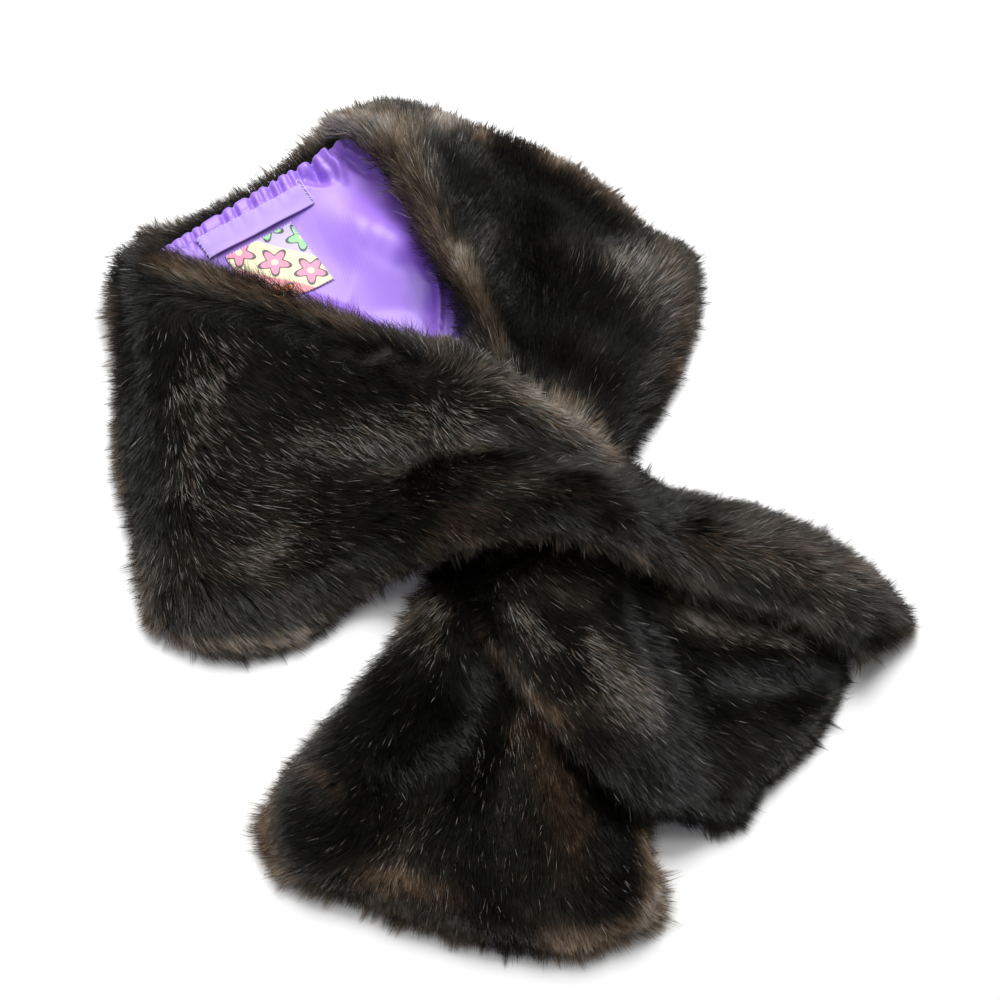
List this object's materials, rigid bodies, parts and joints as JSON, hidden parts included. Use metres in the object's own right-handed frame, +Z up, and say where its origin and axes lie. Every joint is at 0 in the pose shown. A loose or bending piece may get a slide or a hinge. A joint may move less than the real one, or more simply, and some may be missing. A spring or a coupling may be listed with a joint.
{
  "type": "fur collar wrap",
  "caption": "Long-pile faux fur collar wrap with a satin lining, laid flat as a folded ring with its two ends crossed in front and fanned out.",
  "frame": {"origin": "on the surface that the wrap lies on, under the middle of its outline", "axes": "+Z up from that surface, +Y towards the back of the neck, -Y towards the tails, +X towards the tail on top"},
  "size_m": [0.502, 0.6516, 0.0761],
  "materials": {
    "fur": "long dark brown pile, lighter at its tips",
    "satin": "smooth satin weave with a soft sheen",
    "label": "close flat weave, matt",
    "tag": "printed cotton, matt"
  },
  "bodies": {
    "root": {"back_panel": "fur", "satin_lining": "satin", "gathered_casing": "satin", "woven_label": "label", "picture_tag": "tag", "right_front": "fur", "lower_left_tail": "fur", "left_front": "fur", "right_tail_upper": "fur", "right_tail_lower": "fur"}
  },
  "joints": []
}
